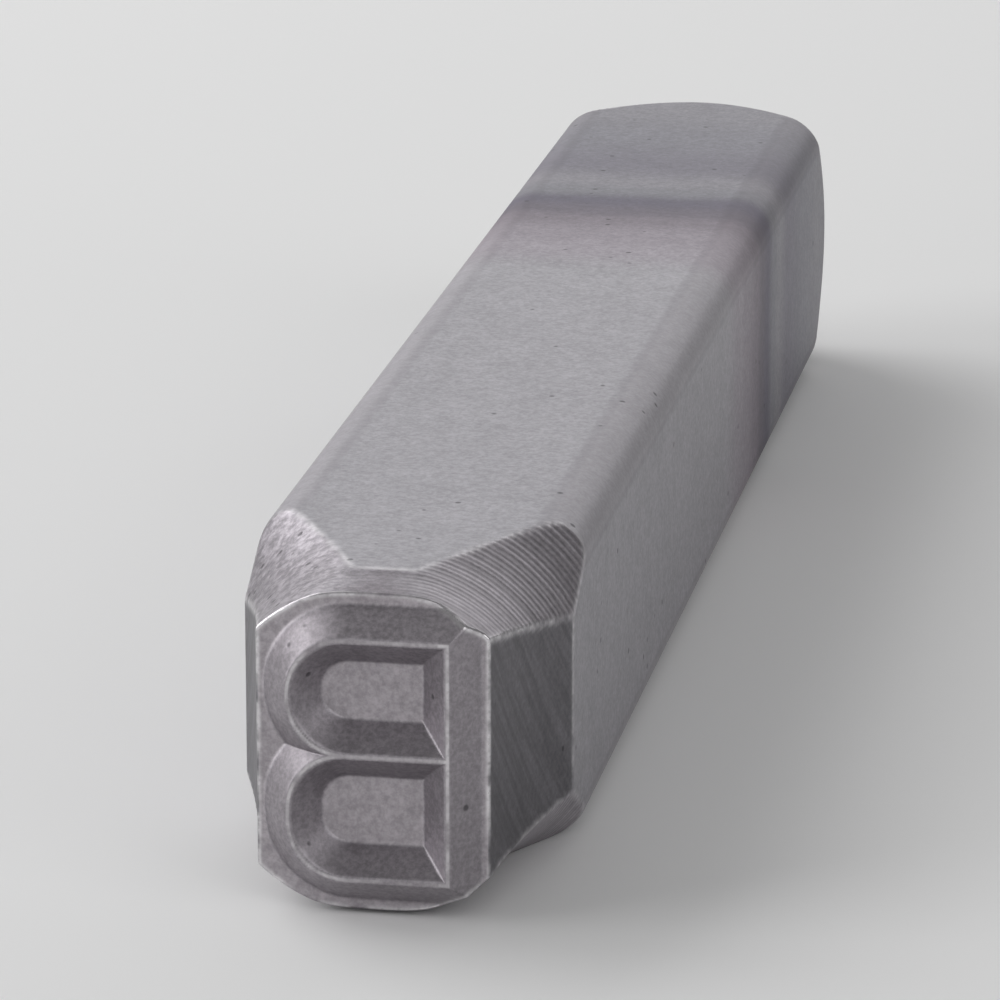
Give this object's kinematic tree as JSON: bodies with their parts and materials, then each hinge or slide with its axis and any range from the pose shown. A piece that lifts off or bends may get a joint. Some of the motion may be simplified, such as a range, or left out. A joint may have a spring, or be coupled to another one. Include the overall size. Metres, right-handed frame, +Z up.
{
  "type": "steel letter punch",
  "caption": "Square steel hand punch with softened edges, a turned, side-milled and lightly ground nose that carries a mirrored capital letter in relief, and a coned struck end.",
  "frame": {"origin": "on the resting flat, in the middle of the punch's length and width", "axes": "+Z up from the resting flat; the letter faces -Y and the struck end faces +Y; +X is to the right when the letter is faced"},
  "size_m": [0.011, 0.076, 0.011],
  "materials": {
    "steel": "satin blasted tool steel, with a heat-tint band near the struck end"
  },
  "bodies": {
    "root": {"letter_punch": "steel"}
  },
  "joints": []
}
